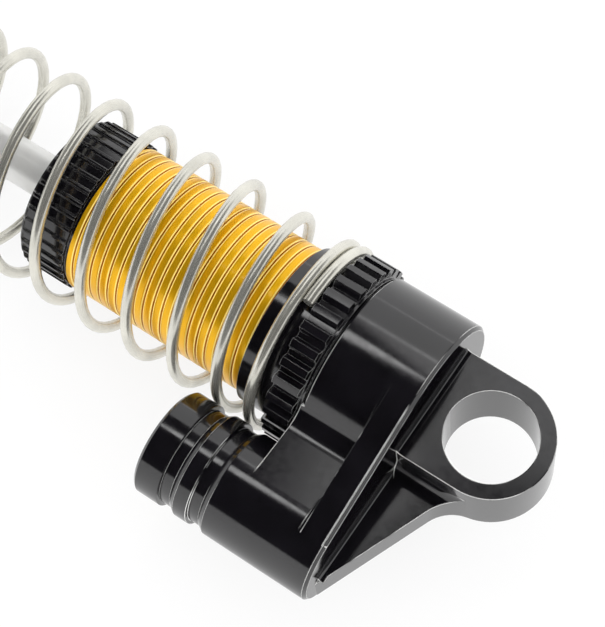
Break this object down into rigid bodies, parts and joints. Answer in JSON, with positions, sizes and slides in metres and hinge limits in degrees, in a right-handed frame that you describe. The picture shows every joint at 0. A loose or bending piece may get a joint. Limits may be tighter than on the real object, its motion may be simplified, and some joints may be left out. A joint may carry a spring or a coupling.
{
  "type": "piggyback coil-over damper",
  "caption": "Small coil-over damper with a threaded body, preload nut, side reservoir, coil spring, rod, upper eye and lower ball end.",
  "frame": {"origin": "centre of the upper eye's bore", "axes": "+X along the damper towards the lower ball, +Y towards the reservoir, +Z along the upper eye's bore"},
  "size_m": [0.0896, 0.0243, 0.0166],
  "materials": {
    "black_anodised": "gloss black anodised",
    "gold_anodised": "gloss gold anodised",
    "plain_aluminium": "turned",
    "seal_rubber": "satin",
    "white_plastic": "moulded",
    "black_plastic": "moulded",
    "spring_steel": "nickel plated",
    "polished_steel": "ground and polished",
    "zinc_steel": "zinc plated"
  },
  "bodies": {
    "damper": {"housing": "black_anodised", "threaded_body": "gold_anodised", "body_seal": "seal_rubber", "lower_cap": "black_anodised", "rod_seal_upper": "seal_rubber", "seal_spacer_ring": "white_plastic", "rod_seal_lower": "seal_rubber", "rod_guide": "white_plastic", "reservoir_end_cap": "black_anodised", "end_cap_seal": "seal_rubber", "main_spring": "spring_steel"},
    "reservoir_piston": {"floating_piston": "plain_aluminium", "floating_piston_seal": "seal_rubber"},
    "preload_ring": {"nut_friction_ring": "seal_rubber"},
    "adjuster": {"adjuster_nut": "black_anodised"},
    "spring_seat": {"spring_cup": "black_plastic"},
    "rod_group": {"rod": "polished_steel", "piston": "white_plastic", "piston_nut": "zinc_steel", "piston_washer": "zinc_steel", "bump_stop": "seal_rubber", "rod_end": "black_plastic"},
    "ball": {"pivot_ball": "polished_steel"}
  },
  "joints": [
    {"name": "rod_slide", "type": "slide", "parent": "damper", "child": "spring_seat", "axis": [-1, 0, 0], "range_m": [0, 0.018], "stiffness_N_per_m": 170, "springref_m": -0.003, "deforming": ["main_spring"]},
    {"name": "rod_spin", "type": "hinge", "parent": "spring_seat", "child": "rod_group", "pos_m": [0.0616, 0, 0], "axis": [1, 0, 0], "continuous": true},
    {"name": "ball_spin", "type": "hinge", "parent": "rod_group", "child": "ball", "pos_m": [0.08, 0, 0], "axis": [0, 0, 1], "continuous": true},
    {"name": "preload_travel", "type": "slide", "parent": "damper", "child": "preload_ring", "axis": [1, 0, 0], "range_m": [0, 0.006], "deforming": ["main_spring"]},
    {"name": "preload_turn", "type": "hinge", "parent": "preload_ring", "child": "adjuster", "pos_m": [0.01345, 0, 0], "axis": [1, 0, 0], "range_deg": [0, 2700]},
    {"name": "reservoir_piston_slide", "type": "slide", "parent": "damper", "child": "reservoir_piston", "axis": [1, 0, 0], "range_m": [0, 0.0047]}
  ],
  "couplings": [
    {"joint": "preload_turn", "follows": "preload_travel", "rad_per_m": 7854},
    {"joint": "reservoir_piston_slide", "follows": "rod_slide", "ratio": 0.2573}
  ]
}
